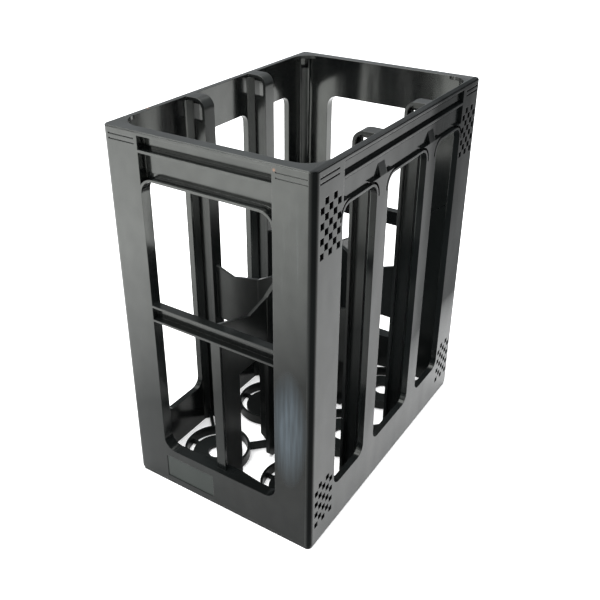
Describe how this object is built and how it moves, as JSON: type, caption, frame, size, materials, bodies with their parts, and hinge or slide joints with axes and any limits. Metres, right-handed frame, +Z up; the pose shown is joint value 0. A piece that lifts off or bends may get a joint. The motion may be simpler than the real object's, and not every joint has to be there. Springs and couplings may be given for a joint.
{
  "type": "bottle crate",
  "caption": "Tall open-sided plastic crate with dividers that hold wine bottles upright in cells.",
  "frame": {"origin": "middle of the footprint, on the ground the crate stands on", "axes": "+X along the long side, +Y along the short side, +Z up"},
  "size_m": [0.3, 0.198, 0.355],
  "materials": {
    "moulding": "moulded black polyethylene, semi-gloss, scuffed"
  },
  "bodies": {
    "root": {"crate": "moulding"}
  },
  "joints": []
}
